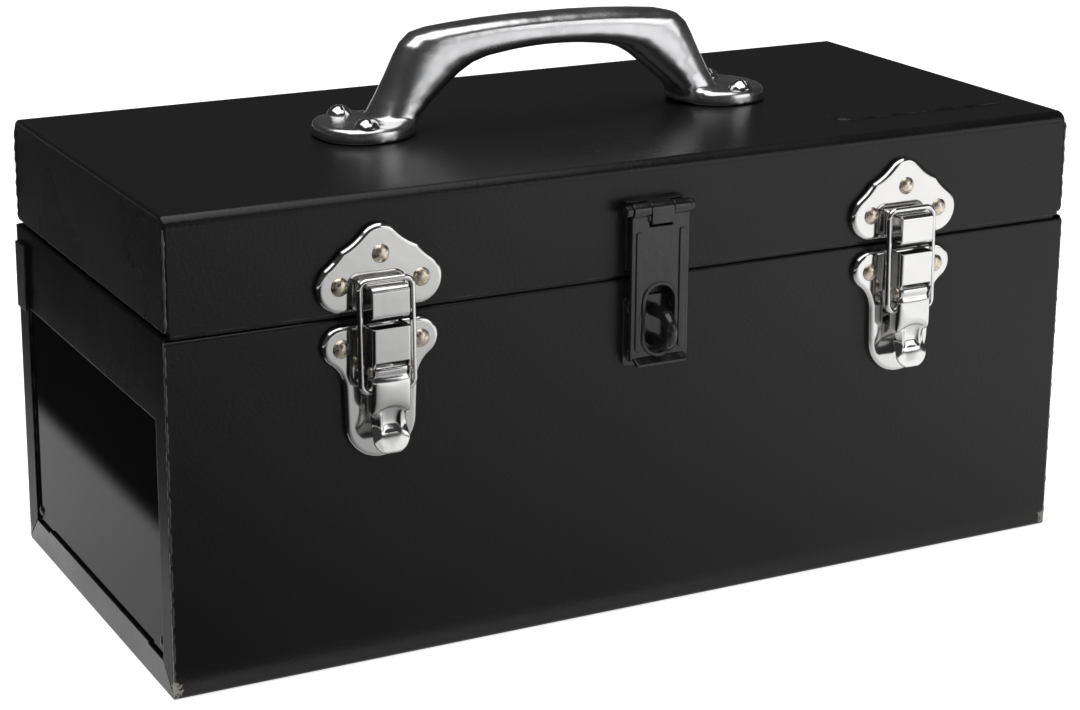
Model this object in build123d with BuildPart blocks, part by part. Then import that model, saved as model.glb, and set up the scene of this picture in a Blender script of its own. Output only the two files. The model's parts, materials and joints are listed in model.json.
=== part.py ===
"""Steel tool box: folded body and lid, cast handle, two draw latches, hasp and lift-out tray.

The origin is at the centre of the box's base. X runs along the box, -Y is its front and Z is
up. All sizes are in millimetres. "Out" is a distance forward of the body's front face.
"""

from build123d import *
from math import asin, cos, sin
import os

os.makedirs("parts", exist_ok=True)

# ---- driving dimensions -------------------------------------------------------------------

box_length = 400.0
box_depth = 181.0
box_height = 184.0
sheet = 1.0

# body
front_top = 138.3  # top of the front wall's outer face, where it rolls inward
end_top = 139.7  # the same edge on the end panels
lip_top = 148.0
lip_clearance = 0.65  # from the lip to the inside of the lid
bend = 1.6
window_top = 107.0  # upper edge of the pressed-in lower part of an end panel
recess = 1.2  # how far that part is pressed in
end_rivet_z = 17.0
flange_width = 11.5
flange_middle = 12.5  # the bottom flange is a little taller in its middle
flange_middle_half = 62.0
mitre_gap = 0.5
rear_flange_foot = 104.0
rear_flange_top = 132.0
rear_flange_sheet = 0.9

# lid
lid_edge = 140.0  # lower edge of the lid's front wall
lid_end_edge = 141.4  # lower edge of the lid's end walls
lid_end_gap = 0.7  # how far the lid's ends stand inside the body's
lid_side_gap = 0.2
lid_bend = 4.5
emboss_length = 84.0
emboss_width = 13.0
emboss_rise = 0.5
emboss_x = 147.0
emboss_y = -57.0

# rear hinge
hinge_axis_y = box_depth / 2 + 2.9
hinge_axis_z = 139.5
hinge_length = 384.0
hinge_knuckles = 15
knuckle_gap = 0.3
knuckle_radius = 2.5
hinge_pin_radius = 1.2
leaf_reach = 17.0
leaf_relief = 3.1  # leaf's edge below or above the other leaf's knuckles
hinge_rivets = 6

# latches
latch_x = 116.7
plate_rise = 3.0
plate_sheet = 1.1
plate_round = 1.9
base_lobe = (15.6, 127.9)
base_lobe_radius = 8.0
tongue_radius = 14.5
tongue_centre = 97.5
base_hollow = 12.0  # radius of the hollows between the lobes of the outline
keeper_lobe = (15.5, 150.5)
keeper_lobe_radius = 9.9
keeper_top_centre = 164.3
keeper_top_radius = 9.1
keeper_foot = 140.6
keeper_hollow = 25.0
boss_length = 19.8
boss_height = 11.6
boss_centre = 147.0
boss_rise = 1.2
rivet_radius = 1.6
rivet_head = 3.6
rivet_rise = 1.6
pivot_out = 10.0
pivot_z = 119.5
pivot_radius = 1.5
ear_radius = 3.0
bail_end_out = 8.6
bail_end_z = 111.5
bail_bar_out = 7.0
bail_bar_z = 153.2
bail_half = 10.6
bail_wire = 1.25
bail_bend = 3.2
channel_half = 7.7
channel_out = 13.0
channel_top = 136.2
channel_edge = 123.3  # lower edge of the channel's front wall
lever_shoulder = 116.2
lever_foot = 102.2  # lower edge of the lever's face, above its waist
waist_half = 5.2
tab_centre = 95.0
tab_radius = 7.7
hook_half = 7.4
hook_out = 12.1
hook_top = 151.6
hook_bottom = 139.3
hook_sheet = 1.3

# hasp
strap_half = 12.65
strap_back = 4.6
strap_sheet = 1.5
strap_bottom = 106.5
hasp_axis_out = 5.2
hasp_axis_z = 166.5
hasp_knuckle = 2.8
hasp_pin_radius = 1.3
tongue_half = 4.9
notch_half = 5.2
notch_bottom = 159.5
slot_width = 13.0
slot_bottom = 108.5
slot_top = 136.0
leaf_bottom = 142.0
staple_wire = 2.5
staple_z = 118.8
staple_bend = 6.1
staple_reach = 18.0
staple_plate_bottom = 103.5
staple_plate_top = 131.0
staple_plate_half = 13.5
staple_sheet = 1.5

# handle
pad_x = 83.0
pad_half_length = 19.7
pad_half_width = 20.4
pad_rise = 6.0
screw_x = 86.5
screw_y = 13.9
screw_shank = 2.4
screw_head = 5.2
screw_head_rise = 3.8
screw_slot = 1.1
washer_radius = 5.0
washer_sheet = 1.2
nut_across = 8.0
nut_rise = 3.2
grip_half = 9.4
grip_round = 5.0

# tray
tray_half_length = 195.6
tray_half_depth = 86.6
tray_sheet = 0.9
tray_rise = 26.0
tray_strap_top = 150.0
tray_strap_half = 7.0
tray_strap_sheet = 1.6

rest_half = 76.0
rest_reach = 5.4
rest_drop = 11.0

# ---- places worked out from them ----------------------------------------------------------

half_length = box_length / 2
half_depth = box_depth / 2
flange_inside = half_depth - flange_width
lid_half_length = half_length - lid_end_gap
lid_half_depth = half_depth - lid_side_gap
lip_x = lid_half_length - sheet - lip_clearance
lip_y = lid_half_depth - sheet - lip_clearance
running = 0.06  # radial clearance of a pin in its bore
snug = 0.02  # radial clearance of a fixed shank in its hole
through = 30.0  # longer than any hole is deep
wall_bore = 4.0  # passes one wall and no more
ends = (-1, 1)
side_names = {-1: "left", 1: "right"}
base_rivets = ((-16.0, 127.5), (16.0, 127.5))
keeper_rivets = ((-16.4, 151.2), (16.4, 151.2), (0.0, 162.0))
leaf_rivets = ((-8.0, 153.5), (8.0, 153.5))
staple_rivets = ((-9.5, 107.5), (9.5, 107.5), (-9.5, 127.0), (9.5, 127.0))
screw_places = tuple((side * screw_x, way * screw_y) for side in ends for way in ends)
end_rivet_ys = (15.0 - half_depth, half_depth - 15.0)
hinge_rivet_step = hinge_length / hinge_rivets
hinge_rivet_xs = tuple(hinge_rivet_step * (i + 0.5) - hinge_length / 2 for i in range(hinge_rivets))
body_rivet_z = hinge_axis_z - leaf_reach / 2 - 2.0
lid_rivet_z = hinge_axis_z + leaf_reach / 2 + 2.0


def front(out):
    """Y of a point that stands out from the body's front face."""
    return -half_depth - out


def spot(out, z):
    """Point on a plane square to the length: how far out of the front face, and its height."""
    return (front(out), z)


def facing(x=0.0, out=0.0, z=0.0):
    """Plane that looks out of the box's front: its X is along the box and its Y is up."""
    return Plane(origin=(x, front(out), z), x_dir=(1, 0, 0), z_dir=(0, -1, 0))


def across(x):
    """Plane square to the box's length: its X is along +Y and its Y is up."""
    return Plane.YZ.offset(x)


def slab(x_span, y_span, z_span, mode=Mode.ADD):
    """Box between the limits given, added to or cut from the part in hand."""
    centre = [(low + high) / 2 for low, high in (x_span, y_span, z_span)]
    size = [high - low for low, high in (x_span, y_span, z_span)]
    with Locations(tuple(centre)):
        Box(*size, mode=mode)


def bore(plane, places, radius, depth=through):
    """Round holes through the part in hand, to both sides of a plane."""
    with BuildSketch(plane) as rings:
        with Locations(*places):
            Circle(radius)
    extrude(rings.sketch, amount=depth, both=True, mode=Mode.SUBTRACT)


def finish(piece, label):
    """Name a finished piece and write its STEP file."""
    piece.label = label
    export_step(piece, f"parts/{label}.step")


def dome(rim, top, rise):
    """Arc of a domed head, from its rim (radius, height) to its top on the axis."""
    radius, base = rim
    ball = (radius**2 + rise**2) / (2 * abs(rise))
    half = asin(radius / ball) / 2
    sign = 1 if rise > 0 else -1
    middle = (ball * sin(half), base + rise - sign * ball * (1 - cos(half)))
    return ThreePointArc(rim, middle, top)


def rivet_solid(head, rise, grip, tail):
    """Domed rivet on its own axis: the head rests on Z = 0 and the closed tail is below."""
    shank = rivet_radius
    with BuildPart() as piece:
        with BuildSketch(Plane.XZ):
            with BuildLine():
                Polyline(
                    (0, rise),
                    (0, -grip - tail),
                    (1.5 * shank, -grip - tail),
                    (1.5 * shank, -grip),
                    (shank, -grip),
                    (shank, 0),
                    (head, 0),
                )
                dome((head, 0), (0, rise), rise)
            make_face()
        revolve(axis=Axis.Z)
    return piece.part


def rivet_group(label, planes, head, rise, grip, tail=0.9):
    """Identical rivets, one on each plane, as a group of separate solids."""
    solid = rivet_solid(head, rise, grip, tail)
    finish(Compound(children=[plane.location * solid for plane in planes]), label)


# ---- body ---------------------------------------------------------------------------------

with BuildPart() as body_shell:
    slab((-half_length, half_length), (-half_depth, half_depth), (0, sheet))
    slab((-half_length, half_length), (-half_depth, sheet - half_depth), (0, front_top))
    slab((-half_length, half_length), (half_depth - sheet, half_depth), (0, hinge_axis_z - 0.5))
    # the front wall rolls inward at its top and rises again as the lip inside the lid
    slab((-lip_x, lip_x), (-half_depth, sheet - lip_y), (front_top - sheet, front_top))
    slab((sheet - lip_x, lip_x - sheet), (-lip_y, sheet - lip_y), (front_top - sheet, lip_top))
    for side in ends:
        # bottom flange, folded up outside the end panel and mitred at both ends
        with BuildSketch(across(min(side * half_length, side * (half_length - sheet)))):
            Polygon(
                (-half_depth, 0),
                (half_depth, 0),
                (flange_inside, flange_width),
                (flange_middle_half, flange_width),
                (flange_middle_half, flange_middle),
                (-flange_middle_half, flange_middle),
                (-flange_middle_half, flange_width),
                (-flange_inside, flange_width),
                align=None,
            )
        extrude(amount=sheet)
        # the rear wall's upper edge is folded round the corner
        upper = sorted((side * half_length, side * (half_length + rear_flange_sheet)))
        slab(upper, (flange_inside, half_depth), (rear_flange_foot, rear_flange_top))
    long_edges = body_shell.edges().filter_by(Axis.X).filter_by(lambda e: e.length > box_length - 10)
    rolled = long_edges.group_by(Axis.Y)[0]
    fillet(rolled, bend)
    rear_foot = body_shell.edges().filter_by(Axis.X).group_by(Axis.Y)[-1].sort_by(Axis.Z)[0]
    fillet(rear_foot, bend)
    for side in ends:
        bore(facing(side * latch_x, -sheet), base_rivets, rivet_radius + snug, wall_bore)
    bore(facing(0, -sheet), staple_rivets, rivet_radius + snug, wall_bore)
    staple_feet = ((0, staple_z - staple_bend), (0, staple_z + staple_bend))
    bore(facing(0, -sheet), staple_feet, staple_wire + snug, wall_bore)
    rear = Plane(origin=(0, half_depth, 0), x_dir=(1, 0, 0), z_dir=(0, -1, 0))
    bore(rear, [(x, body_rivet_z) for x in hinge_rivet_xs], rivet_radius + snug, wall_bore)
finish(body_shell.part, "body_shell")


def end_panel(side):
    """End of the body: one sheet with its lower part pressed in, and a lip at the top."""

    def span(far, near):
        return sorted((side * far, side * near))

    inner = half_depth - sheet
    pressed = half_length - recess
    mitre = 1.5 * mitre_gap
    with BuildPart() as panel:
        slab(span(half_length, half_length - sheet), (-inner, inner), (window_top, end_top))
        slab(span(half_length, pressed - sheet), (-inner, inner), (window_top - sheet, window_top))
        slab(span(pressed, pressed - sheet), (-inner, inner), (sheet, window_top))
        # upright borders of the pressed-in part, mitred above the bottom flange
        for way in ends:
            with BuildSketch(across(min(span(half_length, pressed)))):
                Polygon(
                    (way * inner, window_top),
                    (way * flange_inside, window_top),
                    (way * flange_inside, flange_width + mitre),
                    (way * inner, half_depth - inner + mitre),
                    align=None,
                )
            extrude(amount=recess)
        # rolled top and the lip inside the lid
        slab(span(half_length, lip_x - sheet), (-lip_y, lip_y), (end_top - sheet, end_top))
        slab(span(lip_x, lip_x - sheet), (-lip_y, lip_y), (end_top - sheet, lip_top))
        outer_top = panel.edges().filter_by(Axis.Y).group_by(Axis.X)[0 if side < 0 else -1]
        fillet(outer_top.sort_by(Axis.Z)[-1], bend)
        wall = Plane(origin=(side * pressed, 0, 0), x_dir=(0, 1, 0), z_dir=(1, 0, 0))
        bore(wall, [(y, end_rivet_z) for y in end_rivet_ys], rivet_radius + snug, wall_bore)
    return panel.part


for side in ends:
    finish(end_panel(side), f"end_panel_{side_names[side]}")

end_rivet_planes = [
    Plane(origin=(side * (half_length - recess), y, end_rivet_z), z_dir=(side, 0, 0))
    for side in ends
    for y in end_rivet_ys
]
rivet_group("end_panel_rivets", end_rivet_planes, 2.6, 1.0, sheet)

rest_wall = half_length - recess - sheet
for side in ends:
    # angle strip welded inside the end, on which the tray rests
    with BuildPart() as tray_rest:
        strip = (-rest_half, rest_half)
        leg = sorted((side * rest_wall, side * (rest_wall - rest_reach)))
        slab(leg, strip, (window_top - sheet, window_top))
        upright = sorted((side * rest_wall, side * (rest_wall - sheet)))
        slab(upright, strip, (window_top - rest_drop, window_top))
    finish(tray_rest.part, f"tray_rest_{side_names[side]}")

# ---- lid ----------------------------------------------------------------------------------

with BuildPart() as lid_shell:
    slab(
        (-lid_half_length, lid_half_length),
        (-lid_half_depth, lid_half_depth),
        (lid_edge, box_height),
    )
    top_edges = lid_shell.faces().sort_by(Axis.Z)[-1].edges()
    fillet(top_edges.filter_by(Axis.X), lid_bend)
    fillet(lid_shell.faces().sort_by(Axis.Z)[-1].edges().filter_by(Axis.Y), bend)
    with BuildSketch(across(sheet - lid_half_length)):
        with BuildLine():
            inside = lid_half_depth - sheet
            round_in = lid_bend - sheet
            FilletPolyline(
                (-inside, lid_edge - 1),
                (-inside, box_height - sheet),
                (inside, box_height - sheet),
                (inside, lid_edge - 1),
                radius=round_in,
            )
            Line((inside, lid_edge - 1), (-inside, lid_edge - 1))
        make_face()
    extrude(amount=2 * (lid_half_length - sheet), mode=Mode.SUBTRACT)
    for side in ends:
        edge = sorted((side * (lid_half_length + 1), side * (lid_half_length - 2 * sheet)))
        slab(edge, (-half_depth, half_depth), (lid_edge - 1, lid_end_edge), Mode.SUBTRACT)
    with BuildSketch(Plane.XY.offset(box_height)):
        with Locations((emboss_x, emboss_y)):
            RectangleRounded(emboss_length, emboss_width, emboss_width / 3)
    extrude(amount=emboss_rise)
    fillet(lid_shell.faces().sort_by(Axis.Z)[-1].edges(), emboss_rise * 0.8)
    bore(Plane.XY.offset(box_height), screw_places, screw_shank + snug, wall_bore)
    for side in ends:
        bore(facing(side * latch_x, -sheet), keeper_rivets, rivet_radius + snug, wall_bore)
    bore(facing(0, -sheet), leaf_rivets, rivet_radius + snug, wall_bore)
    bore(rear, [(x, lid_rivet_z) for x in hinge_rivet_xs], rivet_radius + snug, wall_bore)
finish(lid_shell.part, "lid_shell")

# ---- rear hinge ---------------------------------------------------------------------------


def hinge_leaf(first, wall_y, way, rivet_z):
    """One leaf of the piano hinge, with every second knuckle; way is +1 for the upper leaf."""
    pitch = hinge_length / hinge_knuckles
    plate = sorted((hinge_axis_z + way * leaf_relief, hinge_axis_z + way * leaf_reach))
    strip = sorted((hinge_axis_z, hinge_axis_z + way * leaf_reach / 2))
    with BuildPart() as leaf:
        slab((-hinge_length / 2, hinge_length / 2), (wall_y, wall_y + sheet), plate)
        for index in range(first, hinge_knuckles, 2):
            start = index * pitch - hinge_length / 2 + knuckle_gap / 2
            stop = start + pitch - knuckle_gap
            slab((start, stop), (wall_y, wall_y + sheet), strip)
            slab((start, stop), (wall_y, hinge_axis_y), sorted((hinge_axis_z, hinge_axis_z + way)))
            with BuildSketch(across(start)):
                with Locations((hinge_axis_y, hinge_axis_z)):
                    Circle(knuckle_radius)
            extrude(amount=stop - start)
        bore(across(0), [(hinge_axis_y, hinge_axis_z)], hinge_pin_radius + running, hinge_length)
        bore(rear, [(x, rivet_z) for x in hinge_rivet_xs], rivet_radius + snug, wall_bore)
    return leaf.part


finish(hinge_leaf(0, half_depth, -1, body_rivet_z), "hinge_leaf_body")
finish(hinge_leaf(1, lid_half_depth, 1, lid_rivet_z), "hinge_leaf_lid")

with BuildPart() as hinge_pin:
    with BuildSketch(across(-hinge_length / 2 - 1)):
        with Locations((hinge_axis_y, hinge_axis_z)):
            Circle(hinge_pin_radius)
    extrude(amount=hinge_length + 2)
finish(hinge_pin.part, "hinge_pin")

for label, wall_y, rivet_z in (
    ("hinge_rivets_body", half_depth, body_rivet_z),
    ("hinge_rivets_lid", lid_half_depth, lid_rivet_z),
):
    planes = [Plane(origin=(x, wall_y + sheet, rivet_z), z_dir=(0, 1, 0)) for x in hinge_rivet_xs]
    rivet_group(label, planes, 3.0, 1.3, 2 * sheet)

# ---- draw latches -------------------------------------------------------------------------


def base_outline():
    """Outline of the plate on the body: two lobes above a long rounded tongue."""
    lobe_x, lobe_z = base_lobe
    with Locations((-lobe_x, lobe_z), (lobe_x, lobe_z)):
        Circle(base_lobe_radius)
    with Locations((0, lobe_z)):
        Rectangle(2 * lobe_x, 2 * base_lobe_radius)
    with Locations((0, tongue_centre)):
        Circle(tongue_radius)
    Polygon(
        (-lobe_x, lobe_z),
        (lobe_x, lobe_z),
        (tongue_radius, tongue_centre),
        (-tongue_radius, tongue_centre),
        align=None,
    )


def keeper_outline():
    """Outline of the plate on the lid: a rounded top above two lobes and a straight foot."""
    lobe_x, lobe_z = keeper_lobe
    with Locations((-lobe_x, lobe_z), (lobe_x, lobe_z)):
        Circle(keeper_lobe_radius)
    with Locations((0, keeper_top_centre)):
        Circle(keeper_top_radius)
    with Locations((0, keeper_foot)):
        Rectangle(2 * lobe_x, keeper_top_centre - keeper_foot, align=(Align.CENTER, Align.MIN))


def drawn_plate(x, outline, hollow_round, rivets):
    """Plate drawn from sheet: flat face, rounded rim, hollow behind."""
    with BuildPart() as plate:
        with BuildSketch(facing(x)):
            outline()
            offset(amount=hollow_round)
            offset(amount=-hollow_round)
        extrude(amount=plate_rise)
        fillet(plate.faces().sort_by(Axis.Y)[0].edges(), plate_round)
        with BuildSketch(facing(x)):
            outline()
            offset(amount=hollow_round)
            offset(amount=-hollow_round - plate_round)
        extrude(amount=plate_rise - plate_sheet, mode=Mode.SUBTRACT)
        bore(facing(x), rivets, rivet_radius + snug)
    return plate.part


def keeper_plate(x):
    """Plate on the lid, with a raised boss that carries the hook."""
    with BuildPart() as keeper:
        add(drawn_plate(x, keeper_outline, keeper_hollow, keeper_rivets))
        with BuildSketch(facing(x, plate_rise)):
            with Locations((0, boss_centre)):
                RectangleRounded(boss_length, boss_height, 1.6)
        extrude(amount=boss_rise)
        fillet(keeper.faces().sort_by(Axis.Y)[0].edges(), 0.8)
    return keeper.part


def keeper_hook(x):
    """Strip bent to a C, open at the back: the bail's bar rests on its top."""
    back = plate_rise + boss_rise
    foot = back + 2.4
    inner_out = hook_out - hook_sheet
    inner_top = hook_top - hook_sheet
    inner_bottom = hook_bottom + hook_sheet
    with BuildPart() as hook:
        with BuildSketch(across(x - hook_half)):
            with BuildLine():
                FilletPolyline(
                    spot(back, hook_top),
                    spot(hook_out, hook_top),
                    spot(hook_out, hook_bottom),
                    spot(foot, hook_bottom),
                    radius=2.0,
                )
                FilletPolyline(
                    spot(foot, inner_bottom),
                    spot(inner_out, inner_bottom),
                    spot(inner_out, inner_top),
                    spot(back, inner_top),
                    radius=0.7,
                )
                Line(spot(back, inner_top), spot(back, hook_top))
                Line(spot(foot, hook_bottom), spot(foot, inner_bottom))
            make_face()
        extrude(amount=2 * hook_half)
    return hook.part


def channel_bracket(x):
    """Channel fixed to the base plate; its side walls end in ears that carry the lever."""
    inner = channel_half - sheet
    with BuildPart() as bracket:
        with BuildSketch(across(x - channel_half)):
            Polygon(
                spot(plate_rise, channel_top),
                spot(channel_out, channel_top),
                spot(channel_out, channel_edge),
                spot(pivot_out + 1.8, pivot_z + 1.0),
                spot(pivot_out, pivot_z - ear_radius),
                spot(plate_rise, pivot_z - 0.5),
                align=None,
            )
            with Locations(spot(pivot_out, pivot_z)):
                Circle(ear_radius)
        extrude(amount=2 * channel_half)
        corners = bracket.edges().filter_by(Axis.Z).group_by(Axis.Y)[0]
        fillet(corners, 1.2)
        mouth = (front(channel_out - sheet), front(0))
        slab((x - inner, x + inner), mouth, (pivot_z - 10, channel_top + 1), Mode.SUBTRACT)
        gap = (front(channel_out + 2), front(0))
        slab((x - inner, x + inner), gap, (pivot_z - 10, channel_edge), Mode.SUBTRACT)
        bore(across(x), [spot(pivot_out, pivot_z)], pivot_radius + snug)
    return bracket.part


def pivot_rivet(x):
    """Rivet through both ears, with a domed head at each end."""
    head = 2.1
    rise = 1.1
    pivot = (x, front(pivot_out), pivot_z)
    with BuildPart() as rivet:
        with BuildSketch(Plane(origin=pivot, x_dir=(0, 0, 1), z_dir=(0, 1, 0))):
            with BuildLine():
                Line((0, -channel_half - rise), (0, channel_half + rise))
                for way in ends:
                    seat = way * channel_half
                    dome((head, seat), (0, seat + way * rise), way * rise)
                    Line((head, seat), (pivot_radius, seat))
                Line((pivot_radius, -channel_half), (pivot_radius, channel_half))
            make_face()
        revolve(axis=Axis(pivot, (1, 0, 0)))
    return rivet.part


def lever_outline():
    """Outline of the lever from the front: face, waist and half-round thumb tab."""
    waist_top = lever_foot + 0.4
    waist_foot = tab_centre + 2
    face_corner = lever_foot - 0.8
    with BuildLine() as rim:
        Line((-channel_half, lever_shoulder), (channel_half, lever_shoulder))
        Line((channel_half, lever_shoulder), (channel_half, face_corner))
        ThreePointArc((channel_half, face_corner), (6.6, lever_foot), (waist_half, waist_top))
        Line((waist_half, waist_top), (waist_half, waist_foot))
        Line((waist_half, waist_foot), (tab_radius, tab_centre))
        tab_foot = (0, tab_centre - tab_radius)
        ThreePointArc((tab_radius, tab_centre), tab_foot, (-tab_radius, tab_centre))
        Line((-tab_radius, tab_centre), (-waist_half, waist_foot))
        Line((-waist_half, waist_foot), (-waist_half, waist_top))
        ThreePointArc((-waist_half, waist_top), (-6.6, lever_foot), (-channel_half, face_corner))
        Line((-channel_half, face_corner), (-channel_half, lever_shoulder))
    make_face(rim.line.edges())


def latch_lever(x):
    """Pressed lever: a knuckle between the ears, a channel, a waist and a thumb tab."""
    neck_half = channel_half - sheet - 0.3
    tab_foot = tab_centre - tab_radius
    with BuildPart() as lever:
        # the whole pressing from the side, then trimmed to its outline from the front
        with BuildSketch(across(x - channel_half)):
            with BuildLine():
                ThreePointArc(spot(12.4, lever_shoulder), spot(12.9, 109.5), spot(11.4, lever_foot))
                Line(spot(11.4, lever_foot), spot(9.9, 101.2))
                ThreePointArc(spot(9.9, 101.2), spot(8.9, 95.0), spot(10.7, tab_foot))
                Line(spot(10.7, tab_foot), spot(9.6, tab_foot - 0.2))
                ThreePointArc(spot(9.6, tab_foot - 0.2), spot(7.8, 95.0), spot(8.8, lever_foot))
                Line(spot(8.8, lever_foot), spot(10.3, 103.4))
                ThreePointArc(spot(10.3, 103.4), spot(11.8, 109.5), spot(11.3, lever_shoulder))
                Line(spot(11.3, lever_shoulder), spot(12.4, lever_shoulder))
            make_face()
        extrude(amount=2 * channel_half)
        with BuildSketch(facing(x)):
            lever_outline()
        extrude(amount=through, mode=Mode.INTERSECT)
        # side flanges
        for flank in (x - channel_half, x + channel_half - sheet):
            with BuildSketch(across(flank)):
                Polygon(
                    spot(5.6, 112.0),
                    spot(7.4, 114.9),
                    spot(11.9, 116.1),
                    spot(12.3, 109.5),
                    spot(10.8, 102.9),
                    spot(7.0, 104.0),
                    spot(5.6, 106.5),
                    align=None,
                )
            extrude(amount=sheet)
        # neck and knuckle between the ears
        with BuildSketch(across(x - neck_half)):
            with Locations(spot(pivot_out, pivot_z)):
                Circle(ear_radius - 0.1)
            Polygon(
                spot(9.2, 117.5),
                spot(11.4, 118.0),
                spot(12.2, lever_shoulder),
                spot(12.2, 114.6),
                spot(11.2, 114.6),
                align=None,
            )
        extrude(amount=2 * neck_half)
        bore(across(x), [spot(pivot_out, pivot_z)], pivot_radius + running)
        bore(across(x), [spot(bail_end_out, bail_end_z)], bail_wire + running)
    return lever.part


def latch_bail(x):
    """Wire bail: its turned-in ends pivot in the lever, and its bar rests on the hook."""
    foot = Vector(x, front(bail_end_out), bail_end_z)
    bar = Vector(x, front(bail_bar_out), bail_bar_z)
    height = (bar - foot).length
    end_half = channel_half - 2.2
    plane = Plane(origin=foot, x_dir=(1, 0, 0), z_dir=(bar - foot).cross(Vector(-1, 0, 0)))
    with BuildPart() as bail:
        with BuildLine(plane) as route:
            FilletPolyline(
                (-end_half, 0),
                (-bail_half, 0),
                (-bail_half, height),
                (bail_half, height),
                (bail_half, 0),
                (end_half, 0),
                radius=bail_bend,
            )
        with BuildSketch(Plane(origin=route.line @ 0, z_dir=route.line % 0)):
            Circle(bail_wire)
        sweep(path=route.line)
    return bail.part


for side in ends:
    name = side_names[side]
    centre = side * latch_x
    finish(drawn_plate(centre, base_outline, base_hollow, base_rivets), f"latch_base_{name}")
    finish(channel_bracket(centre), f"latch_bracket_{name}")
    finish(pivot_rivet(centre), f"latch_pivot_{name}")
    finish(latch_lever(centre), f"latch_lever_{name}")
    finish(latch_bail(centre), f"latch_bail_{name}")
    finish(keeper_plate(centre), f"keeper_plate_{name}")
    finish(keeper_hook(centre), f"keeper_hook_{name}")
    body_planes = [facing(centre + x, plate_rise, z) for x, z in base_rivets]
    lid_planes = [facing(centre + x, plate_rise, z) for x, z in keeper_rivets]
    grip = plate_rise + sheet
    rivet_group(f"latch_base_rivets_{name}", body_planes, rivet_head, rivet_rise, grip)
    lid_grip = grip + lid_side_gap
    rivet_group(f"keeper_rivets_{name}", lid_planes, rivet_head, rivet_rise, lid_grip)

# ---- hasp ---------------------------------------------------------------------------------

hasp_axis = spot(hasp_axis_out, hasp_axis_z)

with BuildPart() as hasp_leaf:
    leaf_back = front(-lid_side_gap)
    leaf_top = hasp_axis_z + hasp_knuckle
    slab((-strap_half, strap_half), (front(strap_sheet), leaf_back), (leaf_bottom, leaf_top))
    tongue = (-tongue_half, tongue_half)
    slab(tongue, (front(hasp_axis_out), leaf_back), (leaf_top - 1.4, leaf_top))
    with BuildSketch(across(-tongue_half)):
        with Locations(hasp_axis):
            Circle(hasp_knuckle)
    extrude(amount=2 * tongue_half)
    # the rolled sheet ends in a tongue in front of the pin
    tongue_out = hasp_axis_out + hasp_knuckle
    slab(tongue, (front(tongue_out), front(tongue_out - 1.3)), (hasp_axis_z - 5.4, hasp_axis_z))
    bore(across(0), [hasp_axis], hasp_pin_radius + snug)
    bore(facing(), leaf_rivets, rivet_radius + snug, wall_bore)
finish(hasp_leaf.part, "hasp_leaf")

leaf_planes = [facing(x, strap_sheet, z) for x, z in leaf_rivets]
rivet_group("hasp_leaf_rivets", leaf_planes, 3.0, 1.0, strap_sheet + lid_side_gap + sheet)

with BuildPart() as hasp_strap:
    face = strap_back + strap_sheet
    slab((-strap_half, strap_half), (front(face), front(strap_back)), (strap_bottom, hasp_axis_z))
    notch = (-notch_half, notch_half)
    notch_depth = (front(face + 1), front(strap_back - 1))
    slab(notch, notch_depth, (notch_bottom, hasp_axis_z + 1), Mode.SUBTRACT)
    for side in ends:
        start = min(side * notch_half, side * strap_half)
        with BuildSketch(across(start)):
            with Locations(hasp_axis):
                Circle(hasp_knuckle)
        extrude(amount=strap_half - notch_half)
    # pressed ribs and the raised border of the slot
    slot_height = slot_top - slot_bottom
    slot_middle = (slot_top + slot_bottom) / 2
    with BuildSketch(facing(0, face - 0.2)):
        with Locations((-9.6, 134.0), (9.6, 134.0)):
            SlotOverall(48.0, 2.4, rotation=90)
        with Locations((0, slot_middle)):
            SlotOverall(slot_height + 2.6, slot_width + 2.6, rotation=90)
    extrude(amount=0.8)
    with BuildSketch(facing(0, 0)):
        with Locations((0, slot_middle)):
            SlotOverall(slot_height, slot_width, rotation=90)
    extrude(amount=through, mode=Mode.SUBTRACT)
    # lip turned outward at the foot, for the finger
    with BuildSketch(across(-strap_half + 1.6)):
        Polygon(
            (front(strap_back), strap_bottom + 0.6),
            (front(face), strap_bottom + 1.2),
            (front(face + 3.2), strap_bottom - 1.0),
            (front(face + 2.6), strap_bottom - 2.2),
            (front(strap_back), strap_bottom),
            align=None,
        )
    extrude(amount=2 * strap_half - 3.2)
    bore(across(0), [hasp_axis], hasp_pin_radius + running, 2 * strap_half)
finish(hasp_strap.part, "hasp_strap")

with BuildPart() as hasp_pin:
    for radius, x_low, x_high in (
        (hasp_pin_radius, -strap_half - 0.4, strap_half + 0.4),
        (2.3, -strap_half - 2.8, -strap_half - 0.3),
        (2.3, strap_half + 0.3, strap_half + 1.6),
    ):
        with BuildSketch(across(x_low)):
            with Locations(hasp_axis):
                Circle(radius)
        extrude(amount=x_high - x_low)
finish(hasp_pin.part, "hasp_pin")

with BuildPart() as staple_plate:
    slab(
        (-staple_plate_half, staple_plate_half),
        (front(staple_sheet), front(0)),
        (staple_plate_bottom, staple_plate_top),
    )
    fillet(staple_plate.edges().filter_by(Axis.Y), 2.0)
    bore(facing(), staple_feet, staple_wire + snug, wall_bore)
    bore(facing(), staple_rivets, rivet_radius + snug, wall_bore)
finish(staple_plate.part, "staple_plate")

staple_planes = [facing(x, staple_sheet, z) for x, z in staple_rivets]
rivet_group("staple_plate_rivets", staple_planes, 2.8, 0.9, staple_sheet + sheet)

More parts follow.
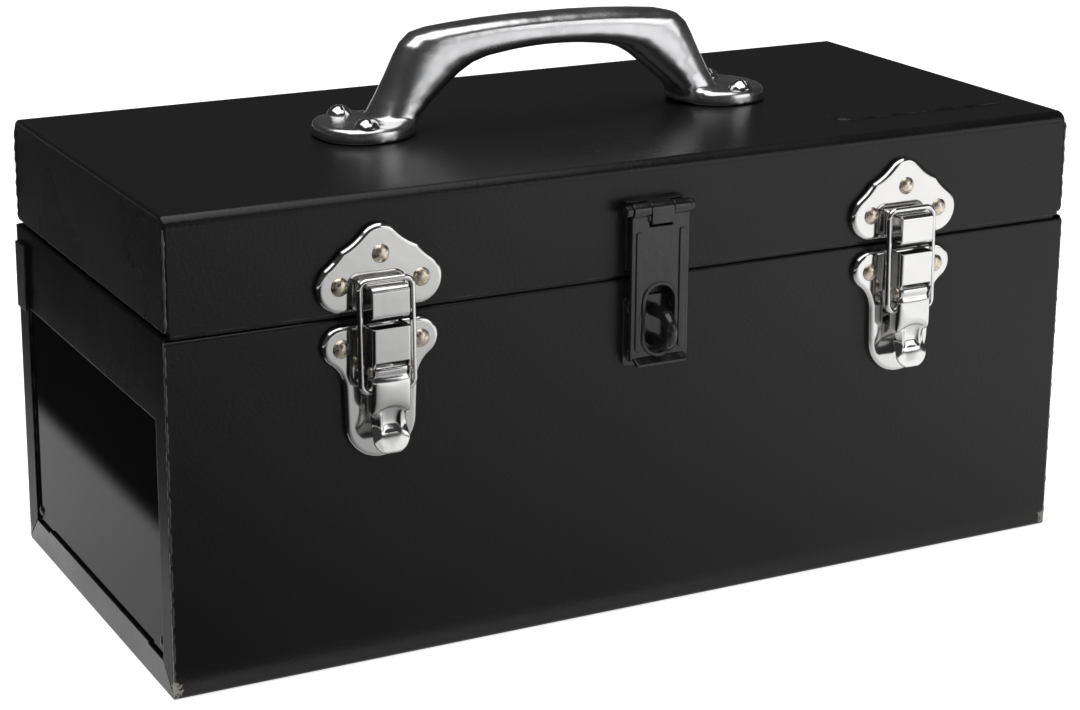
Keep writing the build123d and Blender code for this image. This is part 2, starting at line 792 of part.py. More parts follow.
with BuildPart() as hasp_staple:
    reach = staple_reach - staple_wire
    bend_start = reach - staple_bend
    root = front(-sheet - 1.0)
    low = staple_z - staple_bend
    high = staple_z + staple_bend
    with BuildLine(Plane.YZ) as loop:
        Line((root, high), (front(bend_start), high))
        ThreePointArc((front(bend_start), high), (front(reach), staple_z), (front(bend_start), low))
        Line((front(bend_start), low), (root, low))
    with BuildSketch(Plane(origin=(0, root, high), z_dir=(0, -1, 0))):
        Circle(staple_wire)
    sweep(path=loop.line)
finish(hasp_staple.part, "hasp_staple")

# ---- carrying handle ----------------------------------------------------------------------

pad_top = box_height + pad_rise

with BuildPart() as carry_handle:
    foot_z = pad_top - 2
    outer_foot = 80.6
    inner_foot = 61.5
    with BuildSketch(Plane.XZ.offset(-grip_half)):
        with BuildLine():
            FilletPolyline(
                (-outer_foot, foot_z),
                (-63.8, 223.8),
                (0, 228.4),
                (63.8, 223.8),
                (outer_foot, foot_z),
                radius=(11.0, 320.0, 11.0),
            )
            FilletPolyline(
                (inner_foot, foot_z),
                (34.5, 211.6),
                (0, 214.8),
                (-34.5, 211.6),
                (-inner_foot, foot_z),
                radius=(22.0, 150.0, 22.0),
            )
            Line((-outer_foot, foot_z), (-inner_foot, foot_z))
            Line((outer_foot, foot_z), (inner_foot, foot_z))
        make_face()
    extrude(amount=2 * grip_half)
    rims = carry_handle.edges().filter_by(lambda e: abs(abs(e.center().Y) - grip_half) < 0.01)
    fillet(rims.filter_by(lambda e: e.center().Z > foot_z + 1), grip_round)
    with BuildSketch(Plane.XY.offset(box_height)):
        with Locations((-pad_x, 0), (pad_x, 0)):
            Ellipse(pad_half_length, pad_half_width)
    extrude(amount=pad_rise)
    bore(Plane.XY.offset(box_height), screw_places, screw_shank + snug, pad_rise + 1)
finish(carry_handle.part, "carry_handle")


def handle_screw(place):
    """Slotted round-head screw through the pad and the lid."""
    length = pad_rise + sheet + washer_sheet + nut_rise + 1.5
    with BuildPart() as screw:
        with BuildSketch(Plane.XZ):
            with BuildLine():
                Polyline(
                    (0, screw_head_rise),
                    (0, -length),
                    (screw_shank, -length),
                    (screw_shank, 0),
                    (screw_head, 0),
                )
                dome((screw_head, 0), (0, screw_head_rise), screw_head_rise)
            make_face()
        revolve(axis=Axis.Z)
        slot = (-screw_slot / 2, screw_slot / 2)
        slot_depth = (screw_head_rise - 1.6, screw_head_rise + 1)
        slab(slot, (-screw_head, screw_head), slot_depth, Mode.SUBTRACT)
    return Location((*place, pad_top)) * screw.part


def washer(place):
    """Plain washer under the lid."""
    with BuildPart() as ring:
        with BuildSketch(Plane.XY.offset(box_height - sheet - washer_sheet)):
            with Locations(place):
                Circle(washer_radius)
                Circle(screw_shank + snug, mode=Mode.SUBTRACT)
        extrude(amount=washer_sheet)
    return ring.part


def nut(place):
    """Hexagon nut below the washer."""
    with BuildPart() as hexagon:
        with BuildSketch(Plane.XY.offset(box_height - sheet - washer_sheet - nut_rise)):
            with Locations(place):
                RegularPolygon(nut_across / 2, 6, major_radius=False)
                Circle(screw_shank + snug, mode=Mode.SUBTRACT)
        extrude(amount=nut_rise)
    return hexagon.part


finish(Compound(children=[handle_screw(place) for place in screw_places]), "handle_screws")
finish(Compound(children=[washer(place) for place in screw_places]), "handle_washers")
finish(Compound(children=[nut(place) for place in screw_places]), "handle_nuts")

# ---- lift-out tray ------------------------------------------------------------------------

tray_top = window_top + tray_rise

with BuildPart() as tray_pan:
    tray_length = (-tray_half_length, tray_half_length)
    slab(tray_length, (-tray_half_depth, tray_half_depth), (window_top, tray_top))
    fillet(tray_pan.edges().filter_by(Axis.Z), 3.0)
    fillet(tray_pan.faces().sort_by(Axis.Z)[0].edges(), 1.6)
    offset(amount=-tray_sheet, openings=tray_pan.faces().sort_by(Axis.Z)[-1])
    tray_wall = Plane(origin=(0, 0, 0), x_dir=(0, 1, 0), z_dir=(1, 0, 0))
    tray_rivet_z = window_top + 17.0
    bore(tray_wall, [(0, tray_rivet_z)], rivet_radius + snug, box_length)
finish(tray_pan.part, "tray_pan")

with BuildPart() as tray_strap:
    inside = tray_half_length - tray_sheet
    strap_foot = window_top + 10.0
    with BuildSketch(Plane.XZ.offset(-tray_strap_half)):
        with BuildLine():
            FilletPolyline(
                (-inside, strap_foot),
                (-inside, tray_strap_top),
                (inside, tray_strap_top),
                (inside, strap_foot),
                radius=12.0,
            )
            Line((inside, strap_foot), (inside - tray_strap_sheet, strap_foot))
            FilletPolyline(
                (inside - tray_strap_sheet, strap_foot),
                (inside - tray_strap_sheet, tray_strap_top - tray_strap_sheet),
                (tray_strap_sheet - inside, tray_strap_top - tray_strap_sheet),
                (tray_strap_sheet - inside, strap_foot),
                radius=12.0 - tray_strap_sheet,
            )
            Line((tray_strap_sheet - inside, strap_foot), (-inside, strap_foot))
        make_face()
    extrude(amount=2 * tray_strap_half)
    bore(tray_wall, [(0, tray_rivet_z)], rivet_radius + snug, box_length)
finish(tray_strap.part, "tray_strap")

tray_grip = tray_sheet + tray_strap_sheet
tray_planes = [
    Plane(origin=(side * (inside - tray_strap_sheet), 0, tray_rivet_z), z_dir=(-side, 0, 0))
    for side in ends
]
rivet_group("tray_rivets", tray_planes, 3.0, 1.3, tray_grip, 0.6)
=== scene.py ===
"""Steel tool box: materials, detailed pieces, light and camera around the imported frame."""

import bmesh
import bpy
import json
from math import cos, pi, radians, sin
from mathutils import Matrix, Vector


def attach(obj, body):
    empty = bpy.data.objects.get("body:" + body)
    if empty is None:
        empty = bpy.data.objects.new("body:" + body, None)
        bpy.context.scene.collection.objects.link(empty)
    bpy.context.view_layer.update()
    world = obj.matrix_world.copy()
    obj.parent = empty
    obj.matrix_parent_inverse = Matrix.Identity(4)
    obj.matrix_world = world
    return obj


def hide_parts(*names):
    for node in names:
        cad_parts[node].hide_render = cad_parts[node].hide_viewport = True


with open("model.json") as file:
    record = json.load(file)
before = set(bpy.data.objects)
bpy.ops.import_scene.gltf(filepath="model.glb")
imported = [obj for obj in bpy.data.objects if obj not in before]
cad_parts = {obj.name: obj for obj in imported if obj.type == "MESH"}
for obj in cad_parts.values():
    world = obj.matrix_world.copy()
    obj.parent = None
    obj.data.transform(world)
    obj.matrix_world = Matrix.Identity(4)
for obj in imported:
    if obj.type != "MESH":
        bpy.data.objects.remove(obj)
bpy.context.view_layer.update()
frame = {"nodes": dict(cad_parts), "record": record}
nodes = frame["nodes"]
MM = 0.001
LATCH_X = 116.7  # millimetres from the middle to each latch
FRONT = -90.5  # the front wall's outer face
LEVER_HALF = 7.7  # half width of a latch lever's face
PAD_X = 83.0  # from the middle to the centre of each handle pad
PAD_HALF = (19.6, 20.3)  # half length and half width of a pad
TOE_X = 73.2  # from the middle to the centre of each pad's squared inner end
TOE_HALF = (8.6, 14.4)
PRESSED_X = (0.1992, 0.1996)  # metres; an end is pressed in below the first, a border beyond the second
CHIP_PLACE = (0.2, 0.0905, 0.004)  # metres; a lower corner of the body

# ---- material building blocks -------------------------------------------------------------


class Finish:
    """A node material, with short calls for the nodes that the finishes share."""

    def __init__(self, name, **sockets):
        self.material = bpy.data.materials.new(name)
        self.material.use_nodes = True
        self.tree = self.material.node_tree
        self.shader = self.tree.nodes["Principled BSDF"]
        for socket, value in sockets.items():
            self.shader.inputs[socket.replace("_", " ")].default_value = value
        coordinates = self.tree.nodes.new("ShaderNodeTexCoord")
        self.place = coordinates.outputs["Object"]

    def link(self, source, target):
        self.tree.links.new(source, target)

    def node(self, kind, **settings):
        made = self.tree.nodes.new(kind)
        for name, value in settings.items():
            setattr(made, name, value)
        return made

    def noise(self, scale, detail=3.0, roughness=0.5, stretch=None):
        """Noise in object space; scale is in features per metre."""
        place = self.place
        if stretch:
            mapping = self.node("ShaderNodeMapping")
            mapping.inputs["Scale"].default_value = stretch
            self.link(place, mapping.inputs["Vector"])
            place = mapping.outputs["Vector"]
        texture = self.node("ShaderNodeTexNoise")
        texture.inputs["Scale"].default_value = scale
        texture.inputs["Detail"].default_value = detail
        texture.inputs["Roughness"].default_value = roughness
        self.link(place, texture.inputs["Vector"])
        return texture.outputs["Fac"]

    def spread(self, value, low, high, into_low=0.0, into_high=1.0):
        """Map a value's range to another, held at both ends."""
        mapped = self.node("ShaderNodeMapRange")
        mapped.inputs["From Min"].default_value = low
        mapped.inputs["From Max"].default_value = high
        mapped.inputs["To Min"].default_value = into_low
        mapped.inputs["To Max"].default_value = into_high
        self.link(value, mapped.inputs["Value"])
        return mapped.outputs["Result"]

    def math(self, operation, first, second):
        worked = self.node("ShaderNodeMath", operation=operation)
        for index, value in enumerate((first, second)):
            if isinstance(value, float):
                worked.inputs[index].default_value = value
            else:
                self.link(value, worked.inputs[index])
        return worked.outputs[0]

    def blend(self, mask, first, second):
        """Colour mix of two colours, each an RGB tuple or a socket."""
        mix = self.node("ShaderNodeMix", data_type="RGBA")
        self.link(mask, mix.inputs["Factor"])
        for socket, colour in (("A", first), ("B", second)):
            target = [i for i in mix.inputs if i.name == socket and i.type == "RGBA"][0]
            if isinstance(colour, tuple):
                target.default_value = (*colour, 1)
            else:
                self.link(colour, target)
        return [o for o in mix.outputs if o.type == "RGBA"][0]

    def soften(self, radius):
        """Round sharp edges in the shading, and keep a mask that is 1 on them."""
        rounded = self.node("ShaderNodeBevel", samples=6)
        rounded.inputs["Radius"].default_value = radius
        surface = self.node("ShaderNodeNewGeometry")
        dot = self.node("ShaderNodeVectorMath", operation="DOT_PRODUCT")
        self.link(rounded.outputs["Normal"], dot.inputs[0])
        self.link(surface.outputs["Normal"], dot.inputs[1])
        self.rounded = rounded.outputs["Normal"]
        return self.spread(dot.outputs["Value"], 0.99, 0.8)

    def bump(self, *layers):
        """Stacked bumps; each layer is (height socket, height in metres)."""
        normal = self.rounded
        for height, distance in layers:
            bumped = self.node("ShaderNodeBump")
            bumped.inputs["Strength"].default_value = 1.0
            bumped.inputs["Distance"].default_value = distance
            self.link(height, bumped.inputs["Height"])
            self.link(normal, bumped.inputs["Normal"])
            normal = bumped.outputs["Normal"]
        self.link(normal, self.shader.inputs["Normal"])

    def colour(self, socket):
        self.link(socket, self.shader.inputs["Base Color"])

    def roughness(self, socket):
        self.link(socket, self.shader.inputs["Roughness"])


def powder_coat(name, base, low, high, peel, pressed_gloss=None, shine=0.25):
    """Black powder coat: fine orange peel, cloudy gloss, paler worn edges, chipped lower corners.

    pressed_gloss is the roughness of the smooth pressed-in part of an end, if the piece has one.
    """
    paint = Finish(name, Specular_IOR_Level=shine, IOR=1.5)
    clouds = paint.noise(14.0, 4.0)
    worn = paint.math("MULTIPLY", paint.soften(0.0007), paint.spread(paint.noise(160.0), 0.42, 0.62))
    dark = paint.blend(clouds, base, tuple(1.5 * c for c in base))
    coat = paint.blend(worn, dark, (0.075, 0.07, 0.066))
    # chips: small patches of bare metal at the lower corners
    corner = paint.node("ShaderNodeVectorMath", operation="ABSOLUTE")
    paint.link(paint.place, corner.inputs[0])
    reach = paint.node("ShaderNodeVectorMath", operation="DISTANCE")
    paint.link(corner.outputs["Vector"], reach.inputs[0])
    reach.inputs[1].default_value = CHIP_PLACE
    near = paint.spread(reach.outputs["Value"], 0.0065, 0.001)
    chipped = paint.spread(paint.math("MULTIPLY", near, paint.noise(900.0, 4.0)), 0.3, 0.36)
    paint.colour(paint.blend(chipped, coat, (0.22, 0.2, 0.18)))
    gloss = paint.spread(clouds, 0.3, 0.7, low, high)
    peel_height = paint.noise(620.0, 2.0)
    if pressed_gloss:
        axes = paint.node("ShaderNodeSeparateXYZ")
        paint.link(paint.place, axes.inputs["Vector"])
        out_of_middle = paint.math("ABSOLUTE", axes.outputs["X"], 0.0)
        on_border = paint.spread(out_of_middle, *PRESSED_X)
        smooth = paint.spread(clouds, 0.3, 0.7, pressed_gloss, 1.6 * pressed_gloss)
        mix = paint.node("ShaderNodeMix", data_type="FLOAT")
        paint.link(on_border, mix.inputs["Factor"])
        paint.link(smooth, mix.inputs["A"])
        paint.link(gloss, mix.inputs["B"])
        gloss = mix.outputs["Result"]
        calm = paint.spread(on_border, 0.0, 1.0, 0.12, 1.0)
        peel_height = paint.math("MULTIPLY", peel_height, calm)
    paint.roughness(gloss)
    paint.bump((peel_height, peel), (paint.noise(2600.0, 2.0), peel * 0.12))
    return paint


def gloss_enamel():
    """Thick gloss black enamel with runs and pooled edges."""
    paint = Finish("gloss_black_enamel", Specular_IOR_Level=0.5, IOR=1.5)
    paint.soften(0.0006)
    runs = paint.noise(180.0, 3.0, stretch=(1.0, 1.0, 0.35))
    paint.colour(paint.blend(runs, (0.006, 0.0058, 0.0058), (0.016, 0.015, 0.015)))
    paint.roughness(paint.spread(runs, 0.3, 0.75, 0.1, 0.26))
    paint.bump((runs, 0.00022), (paint.noise(900.0), 0.00003))
    return paint


def bright_plate(name, base, low, high, ripple, scratch=(1.0, 1.0, 1.0)):
    """Plated or polished metal: soft ripples from pressing, haze, hairline scratches."""
    metal = Finish(name, Metallic=1.0)
    haze = metal.noise(55.0, 5.0, 0.6)
    lines = metal.noise(1500.0, 2.0, 0.6, stretch=scratch)
    # darker in patches along sharp edges and in creases
    dark_edge_patches = metal.math("MULTIPLY", metal.soften(0.0006), metal.spread(haze, 0.35, 0.7))
    shade = metal.blend(haze, base, tuple(0.86 * c for c in base))
    metal.colour(metal.blend(dark_edge_patches, shade, tuple(0.55 * c for c in base)))
    metal.roughness(metal.spread(haze, 0.3, 0.72, low, high))
    metal.bump((metal.noise(130.0, 1.0), ripple), (lines, 0.0000035))
    return metal


def rivet_metal():
    """Dull warm nickel with hammer marks and dark specks."""
    metal = Finish("warm_nickel", Metallic=1.0)
    metal.soften(0.0003)
    marks = metal.noise(900.0, 3.0, 0.6)
    metal.colour(metal.blend(metal.spread(marks, 0.35, 0.7), (0.42, 0.36, 0.28), (0.86, 0.79, 0.68)))
    metal.roughness(metal.spread(marks, 0.3, 0.7, 0.2, 0.42))
    metal.bump((marks, 0.00012))
    return metal


def zinc_plate():
    """Dull zinc on hidden fastenings and pins."""
    metal = Finish("zinc_plate", Metallic=1.0)
    metal.soften(0.0003)
    spangle = metal.node("ShaderNodeTexVoronoi")
    spangle.inputs["Scale"].default_value = 500.0
    metal.link(metal.place, spangle.inputs["Vector"])
    metal.colour(metal.blend(spangle.outputs["Distance"], (0.5, 0.5, 0.51), (0.68, 0.68, 0.7)))
    metal.roughness(metal.spread(spangle.outputs["Distance"], 0.0, 0.8, 0.28, 0.45))
    metal.bump((metal.noise(700.0), 0.00003))
    return metal


body_paint = powder_coat("black_powder_coat", (0.004, 0.0036, 0.0034), 0.24, 0.36, 0.0001)
# darker and far less reflective than the body's coat, set for the photograph's view only;
# the real box is presumably one paint all over, and from the sides these ends look too dark
# painted shade: a darker, less glossy copy of the body's black coat, which the two end panels get so that
# they read as shaded
painted_shade_end_coat = powder_coat("black_coat_painted_shade", (0.0028, 0.0025, 0.0024), 0.22, 0.34, 0.00006, 0.035, 0.03)
# painted highlight: the corner beads' paint is several times paler and glossier than the body's coat, which
# draws a bright line down each corner
bead_highlight_paint = powder_coat("corner_bead_painted_highlight", (0.03, 0.0288, 0.0275), 0.1, 0.22, 0.00005, shine=0.6)
enamel = gloss_enamel()
chrome = bright_plate("bright_chrome", (0.66, 0.655, 0.65), 0.07, 0.16, 0.00008)
casting = bright_plate("polished_casting", (0.6, 0.6, 0.61), 0.18, 0.3, 0.0002, (0.2, 1.0, 1.0))
screw_metal = bright_plate("bright_screw", (0.6, 0.6, 0.6), 0.06, 0.14, 0.00003)
nickel = rivet_metal()
zinc = zinc_plate()

slot_finishes = {
    "black_paint": body_paint,
    "gloss_black": enamel,
    "chrome_plate": chrome,
    "nickel_rivet": nickel,
    "polished_cast": casting,
    "bright_screw": screw_metal,
    "zinc_steel": zinc,
}
for row in frame["record"]["subparts"]:
    node = nodes[row["node"]]
    finish = slot_finishes[row["material_slot"]].material
    for index in range(len(node.material_slots)):
        node.material_slots[index].material = finish

# the end panels get the painted-shade copy of the black coat
for name in ("end_panel_left", "end_panel_right"):
    for material_slot in nodes[name].material_slots:
        material_slot.material = painted_shade_end_coat.material

# ---- pieces made here, finer than the plain solids they stand for ---------------------------


def show(name, mesh, finish, body, replaced=()):
    """Turn a mesh in progress into a piece that rides on a body."""
    data = bpy.data.meshes.new(name)
    bmesh.ops.recalc_face_normals(mesh, faces=mesh.faces)
    mesh.to_mesh(data)
    mesh.free()
    for face in data.polygons:
        face.use_smooth = True
    piece = bpy.data.objects.new(name, data)
    bpy.context.collection.objects.link(piece)
    data.materials.append(finish.material)
    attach(piece, body)
    for node in replaced:
        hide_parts(node)
    return piece


def skin(mesh, rings, closed=True, caps=True):
    """Join rings of points, given in millimetres, into a surface."""
    rows = [[mesh.verts.new(Vector(point) * MM) for point in ring] for ring in rings]
    count = len(rows[0])
    steps = count if closed else count - 1
    for lower, upper in zip(rows, rows[1:]):
        for index in range(steps):
            after = (index + 1) % count
            mesh.faces.new((lower[index], lower[after], upper[after], upper[index]))
    if caps:
        mesh.faces.new(rows[0][::-1])
        mesh.faces.new(rows[-1])


def oval(centre, across, along, power, count=36):
    """A superellipse ring about a centre, with two half-axis vectors."""
    ring = []
    for step in range(count):
        turn = 2 * pi * step / count
        c, s = cos(turn), sin(turn)
        u = abs(c) ** (2 / power) * (1 if c >= 0 else -1)
        v = abs(s) ** (2 / power) * (1 if s >= 0 else -1)
        ring.append(Vector(centre) + Vector(across) * u + Vector(along) * v)
    return ring


def carrying_handle():
    """Cast handle: oval grip, legs flaring into two screwed pads."""
    mesh = bmesh.new()
    # half of the arch: outer x and z, inner x and z, half width, squareness
    half_arch = (
        (-82.5, 185.2, -60.2, 185.2, 13.2, 2.6),
        (-81.0, 188.6, -60.6, 188.4, 12.6, 2.6),
        (-79.0, 192.4, -58.6, 191.2, 11.2, 2.5),
        (-76.0, 198.4, -53.6, 195.4, 10.3, 2.4),
        (-72.2, 206.0, -46.8, 201.2, 9.9, 2.4),
        (-68.4, 213.8, -40.4, 206.4, 9.7, 2.5),
        (-65.2, 219.2, -34.6, 209.9, 9.6, 2.7),
        (-60.4, 223.2, -28.2, 212.1, 9.5, 3.2),
        (-53.0, 224.9, -22.0, 213.0, 9.4, 3.3),
        (-42.0, 225.9, -16.6, 213.7, 9.4, 3.3),
        (-28.0, 226.8, -11.0, 214.2, 9.4, 3.3),
        (-13.0, 227.3, -5.2, 214.5, 9.4, 3.3),
        (0.0, 227.4, 0.0, 214.6, 9.4, 3.3),
    )
    mirrored = tuple((-a, b, -c, d, e, f) for a, b, c, d, e, f in half_arch[-2::-1])
    rings = []
    for outer_x, outer_z, inner_x, inner_z, half_width, power in half_arch + mirrored:
        outer = Vector((outer_x, 0, outer_z))
        inner = Vector((inner_x, 0, inner_z))
        centre = (outer + inner) / 2
        rings.append(oval(centre, (0, half_width, 0), (outer - inner) / 2, power, 40))
    skin(mesh, rings)
    for side in (-1, 1):
        # pad: a low oval boss, straight sided with a rolled shoulder
        pad = ((184.0, 1.0), (185.0, 1.0), (188.2, 0.985), (189.5, 0.955), (190.0, 0.9))
        rings = []
        for height, share in pad:
            centre = (side * PAD_X, 0, height)
            rings.append(oval(centre, (PAD_HALF[0] * share, 0, 0), (0, PAD_HALF[1] * share, 0), 2.25, 64))
        skin(mesh, rings)
        # toe: the squared end of the pad under the inside of the leg
        rings = []
        for height, share in ((184.0, 1.0), (189.0, 0.99), (190.6, 0.93)):
            centre = (side * TOE_X, 0, height)
            rings.append(oval(centre, (TOE_HALF[0] * share, 0, 0), (0, TOE_HALF[1] * share, 0), 4.5, 40))
        skin(mesh, rings)
    piece = show("carry_handle_cast", mesh, casting, "lid", ("carry_handle",))
    remesh = piece.modifiers.new("cast_in_one", "REMESH")
    remesh.mode = "VOXEL"
    remesh.voxel_size = 0.00075
    remesh.use_smooth_shade = True
    smooth = piece.modifiers.new("polished", "SMOOTH")
    smooth.factor = 0.6
    smooth.iterations = 4


def pressed_lever(side_name, centre):
    """Latch lever: rolled neck, convex face with side flanges, ribbed waist and spoon tab."""
    mesh = bmesh.new()
    # each row: height, how far its ends dip, how far across its points are (after one in the
    # middle), and how proud of the front wall they are, the middle one first
    rows = (
        (122.3, 0, (3, 5, 6.2, 6.4, 6.4, 6.4, 6.4), (9.6, 9.6, 9.6, 9.6, 9.3, 9, 8.8, 8.7)),
        (122.1, 0, (3, 5, 6.2, 6.4, 6.4, 6.4, 6.4), (11.2, 11.2, 11.2, 11.2, 10.9, 10.2, 9.6, 9.2)),
        (121, 0, (3, 5, 6.2, 6.4, 6.4, 6.4, 6.4), (12.4, 12.4, 12.4, 12.3, 11.9, 11, 9.8, 9)),
        (119.6, 0, (3, 5, 6.2, 6.4, 6.4, 6.4, 6.4), (12.75, 12.75, 12.75, 12.7, 12.3, 11, 9.6, 8.6)),
        (118.5, 0, (3, 5, 6.2, 6.4, 6.4, 6.4, 6.4), (12.2, 12.2, 12.2, 12.1, 11.7, 10.6, 9.2, 8.2)),
        (117.9, 0, (3, 5, 6.2, 6.45, 6.5, 6.5, 6.5), (11.9, 11.9, 11.9, 11.9, 11.5, 10.4, 9, 7.6)),
        (117.3, 0.2, (3, 5.4, 6.7, 7.1, 7.1, 7.1, 7.1), (12.2, 12.2, 12.2, 12, 11.5, 10.4, 8.8, 6.8)),
        (116.5, 0.3, (3, 5.8, 7.1, 7.6, 7.65, 7.65, 7.65), (12.75, 12.75, 12.65, 12.4, 11.9, 10.4, 8.4, 6.1)),
        (113.4, 0.2, (3, 5.8, 7.1, 7.65, 7.7, 7.7, 7.7), (13.1, 13.05, 12.9, 12.6, 12, 10.4, 8.2, 5.8)),
        (110.4, 0.6, (3, 5.8, 7.1, 7.65, 7.7, 7.7, 7.7), (13.25, 13.2, 13, 12.7, 12.1, 10.4, 8.2, 5.8)),
        (108, 2, (3, 5.8, 7.1, 7.65, 7.7, 7.7, 7.7), (13.2, 13.2, 13, 12.7, 12.1, 10.4, 8.2, 5.8)),
        (106.9, 2.9, (3, 5.8, 7.1, 7.65, 7.7, 7.7, 7.7), (12.9, 12.9, 12.7, 12.4, 11.8, 10.2, 8.2, 5.9)),
        (106.2, 3.2, (3, 5.8, 7, 7.5, 7.6, 7.6, 7.6), (12.2, 12.2, 12.1, 11.8, 11.2, 9.9, 8.2, 6.2)),
        (105.6, 3.4, (2.8, 4.9, 6.4, 7.1, 7.3, 7.3, 7.3), (10.9, 10.9, 11.3, 11.2, 10.5, 9.6, 8.4, 7)),
        (104.2, 2.6, (2.5, 3.5, 4.2, 5.4, 6.8, 7.1, 7.1), (10.1, 10.1, 10.6, 11.3, 10.5, 9.7, 8.8, 7.6)),
        (101, 0.9, (2.4, 3.3, 4, 5, 6.5, 7, 7), (9.8, 9.8, 10.4, 11.2, 10.3, 9.5, 8.8, 7.9)),
        (98.2, 0.4, (2.4, 3.3, 4, 5, 6.6, 7.1, 7.1), (10, 10, 10.6, 11.3, 10.4, 9.7, 9.2, 8.5)),
        (96.4, 0.3, (2.4, 3.4, 4.1, 5.2, 6.7, 7.2, 7.4), (10.8, 10.8, 11, 11.5, 11, 10.4, 10, 9.5)),
        (95.4, 0.6, (2.4, 3.4, 4.2, 5.3, 6.6, 7.2, 7.5), (11.6, 11.6, 11.6, 11.6, 11.4, 11.1, 10.9, 10.6)),
        (93.8, 0.3, (2.4, 3.6, 4.6, 5.6, 6.6, 7.2, 7.55), (11.9, 11.9, 11.9, 11.85, 11.8, 11.6, 11.5, 11.4)),
        (92, 0, (2.3, 3.5, 4.5, 5.5, 6.4, 7, 7.3), (12.2, 12.2, 12.15, 12.1, 12, 11.9, 11.85, 11.8)),
        (90.2, 0, (2, 3.1, 4.1, 4.9, 5.6, 6.1, 6.4), (12.5, 12.5, 12.45, 12.4, 12.3, 12.25, 12.2, 12.15)),
        (88.6, 0, (1.5, 2.4, 3.1, 3.7, 4.2, 4.5, 4.7), (12.75, 12.75, 12.7, 12.7, 12.65, 12.6, 12.6, 12.6)),
        (87.8, 0, (0.8, 1.3, 1.7, 2, 2.3, 2.5, 2.6), (12.9, 12.9, 12.9, 12.9, 12.85, 12.85, 12.85, 12.85)),
    )
    rings = []
    for height, dip, half_across, half_proud in rows:
        half = list(zip((0, *half_across), half_proud))
        outline = [(-across, proud) for across, proud in half[:0:-1]] + half
        ring = []
        for across, proud in outline:
            # the rows sag towards the sides, which arches the foot of the face
            sag = dip * (across / LEVER_HALF) ** 2
            ring.append((centre + across, FRONT - proud, height - sag))
        rings.append(ring)
    skin(mesh, rings, closed=False, caps=False)
    name = f"latch_lever_{side_name}_pressed"
    replaced = (f"latch_lever_{side_name}",)
    piece = show(name, mesh, chrome, f"{side_name}_lever", replaced)
    thick = piece.modifiers.new("sheet", "SOLIDIFY")
    thick.thickness = 0.0011
    thick.offset = -1.0
    thick.use_even_offset = True
    smooth = piece.modifiers.new("drawn", "SUBSURF")
    smooth.levels = 2
    smooth.render_levels = 2


def seam_bead(name, body, places, radius, seed):
    """A thin uneven run of weld and thick paint along a corner, through the given places; its paint is paler
    than the body's coat, a painted highlight.
    """
    mesh = bmesh.new()
    rings = []
    count = len(places)
    for index, place in enumerate(places):
        before = Vector(places[max(index - 1, 0)])
        after = Vector(places[min(index + 1, count - 1)])
        way = (after - before).normalized()
        side = way.cross(Vector((0, 1, 0))).normalized()
        other = way.cross(side)
        swell = radius * (1 + 0.3 * sin(index * 2.1 + seed) + 0.22 * sin(index * 0.73 + 2 * seed))
        if index in (0, count - 1):
            swell *= 0.4
        rings.append(oval(place, side * swell, other * swell, 2, 8))
    skin(mesh, rings)
    show(name, mesh, bead_highlight_paint, body)


def upright(x, y, low, high, step=1.6):
    count = int((high - low) / step)
    return [(x, y, low + (high - low) * i / count) for i in range(count + 1)]


carrying_handle()
for side_name, centre in (("left", -LATCH_X), ("right", LATCH_X)):
    pressed_lever(side_name, centre)
for side_name, side in (("left", -1), ("right", 1)):
    for end_name, end in (("front", -1), ("rear", 1)):
        lid_corner = upright(side * 198.95, end * 89.95, 141.8, 179.6)
        seam_bead(f"lid_seam_{side_name}_{end_name}", "lid", lid_corner, 0.55, side + 2 * end)
    body_corner = upright(side * 199.65, -90.15, 3.0, 137.6)
    seam_bead(f"body_seam_{side_name}_front", "case", body_corner, 0.5, 3 * side)

# ---- floor, light and camera ----------------------------------------------------------------


def make_floor():
    """Plain pale floor."""
    mesh = bmesh.new()
    half = 6.0
    bmesh.ops.create_grid(mesh, x_segments=1, y_segments=1, size=half)
    data = bpy.data.meshes.new("floor")
    mesh.to_mesh(data)
    mesh.free()
    floor = bpy.data.objects.new("floor", data)
    bpy.context.collection.objects.link(floor)
    pale = Finish("pale_floor", Roughness=0.8, Specular_IOR_Level=0.1)
    pale.shader.inputs["Base Color"].default_value = (0.8, 0.8, 0.8, 1)
    pale.shader.inputs["Emission Color"].default_value = (1, 1, 1, 1)
    pale.shader.inputs["Emission Strength"].default_value = 0.66
    data.materials.append(pale.material)


def softbox(name, place, target, size, power):
    light = bpy.data.lights.new(name, "AREA")
    light.shape = "RECTANGLE"
    light.size, light.size_y = size
    light.energy = power
    lamp = bpy.data.objects.new(name, light)
    bpy.context.collection.objects.link(lamp)
    lamp.location = place
    aim = Vector(target) - Vector(place)
    lamp.rotation_euler = aim.to_track_quat("-Z", "Y").to_euler()


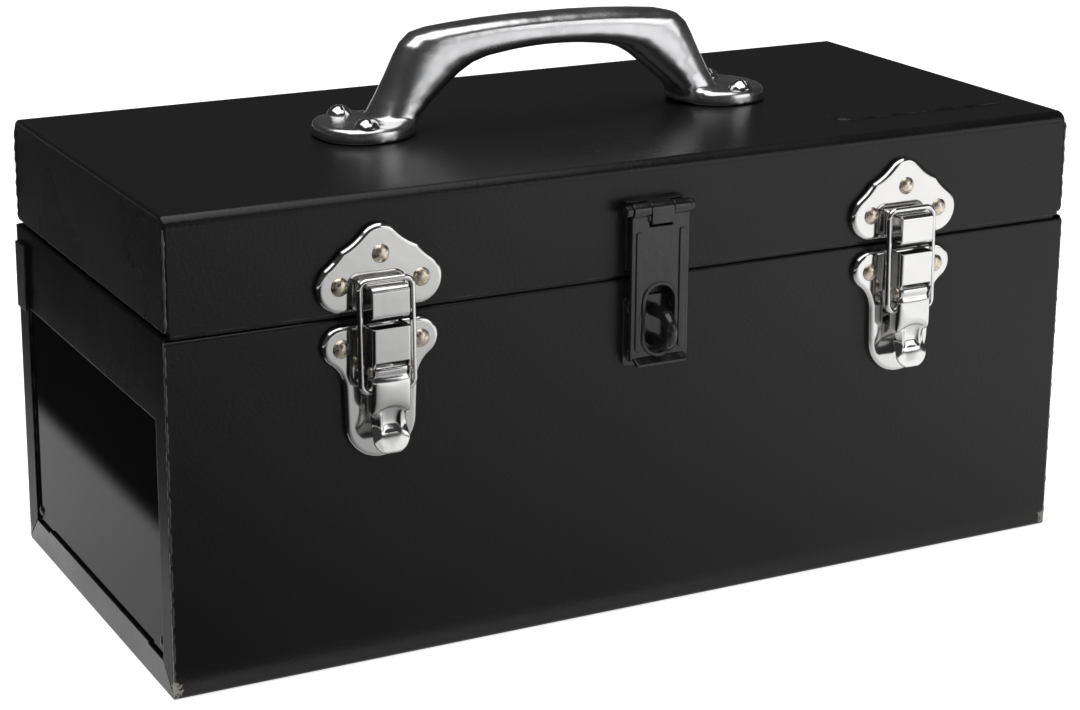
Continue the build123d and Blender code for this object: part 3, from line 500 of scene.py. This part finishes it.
def flag(name, low, high, fade=0.02, height=0.002):
    """A card that only reflections see, a painted dark reflection which keeps dark gloss dark.

    Over the last part of its width, towards +X, it glows white, a painted bright reflection.
    """
    mesh = bmesh.new()
    corners = ((low[0], low[1]), (high[0], low[1]), (high[0], high[1]), (low[0], high[1]))
    mesh.faces.new([mesh.verts.new((x, y, height)) for x, y in corners])
    data = bpy.data.meshes.new(name)
    mesh.to_mesh(data)
    mesh.free()
    card = bpy.data.objects.new(name, data)
    bpy.context.collection.objects.link(card)
    reflection_card_paint = Finish(name, Roughness=0.9, Specular_IOR_Level=0.0)
    reflection_card_paint.shader.inputs["Emission Strength"].default_value = 1.0
    axes = reflection_card_paint.node("ShaderNodeSeparateXYZ")
    reflection_card_paint.link(reflection_card_paint.place, axes.inputs["Vector"])
    glow = reflection_card_paint.spread(axes.outputs["X"], high[0] - fade, high[0])
    reflection_card_paint.link(reflection_card_paint.blend(glow, (0.0, 0.0, 0.0), (1.0, 1.0, 1.0)), reflection_card_paint.shader.inputs["Emission Color"])
    reflection_card_paint.colour(reflection_card_paint.blend(glow, (0.01, 0.01, 0.01), (0.3, 0.3, 0.3)))
    data.materials.append(reflection_card_paint.material)
    card.visible_camera = False
    card.visible_diffuse = False
    card.visible_shadow = False


def make_world():
    """Dim surround."""
    world = bpy.data.worlds.new("studio")
    world.use_nodes = True
    bpy.context.scene.world = world
    background = world.node_tree.nodes["Background"]
    background.inputs["Color"].default_value = (1.0, 1.0, 1.0, 1)
    background.inputs["Strength"].default_value = 0.05


def make_camera():
    """The photograph's viewing angle: 26.8 degrees round from the front, 15.2 above."""
    data = bpy.data.cameras.new("camera")
    data.sensor_width = 36.0
    data.lens = 85.24
    data.shift_x = 0.0388
    data.shift_y = -0.1071
    camera = bpy.data.objects.new("camera", data)
    bpy.context.collection.objects.link(camera)
    round_angle, above, roll = radians(26.834), radians(15.22), radians(0.207)
    ahead = Vector((sin(round_angle) * cos(above), cos(round_angle) * cos(above), -sin(above)))
    level = Vector((cos(round_angle), -sin(round_angle), 0))
    upward = level.cross(ahead)
    right = level * cos(roll) + upward * sin(roll)
    top = upward * cos(roll) - level * sin(roll)
    axes = Matrix((right, top, -ahead)).transposed()
    camera.matrix_world = Matrix.Translation((-0.48488, -0.91624, 0.41248)) @ axes.to_4x4()
    bpy.context.scene.camera = camera


make_floor()
make_world()
make_camera()
softbox("overhead", (-0.5, -0.2, 3.0), (-0.5, -0.2, 0), (3.6, 4.2), 125)
softbox("front_right", (1.3, -1.7, 0.7), (0, 0, 0.1), (1.2, 1.0), 7)
# painted reflections: cards that only reflections see, dark with a white-glowing edge
flag("flag_left", (-1.6, -0.1), (-0.246, 2.2), fade=0.004)
flag("flag_front", (-1.6, -1.8), (0.3, -0.1), fade=0.55)
bpy.context.scene.view_settings.view_transform = "Standard"
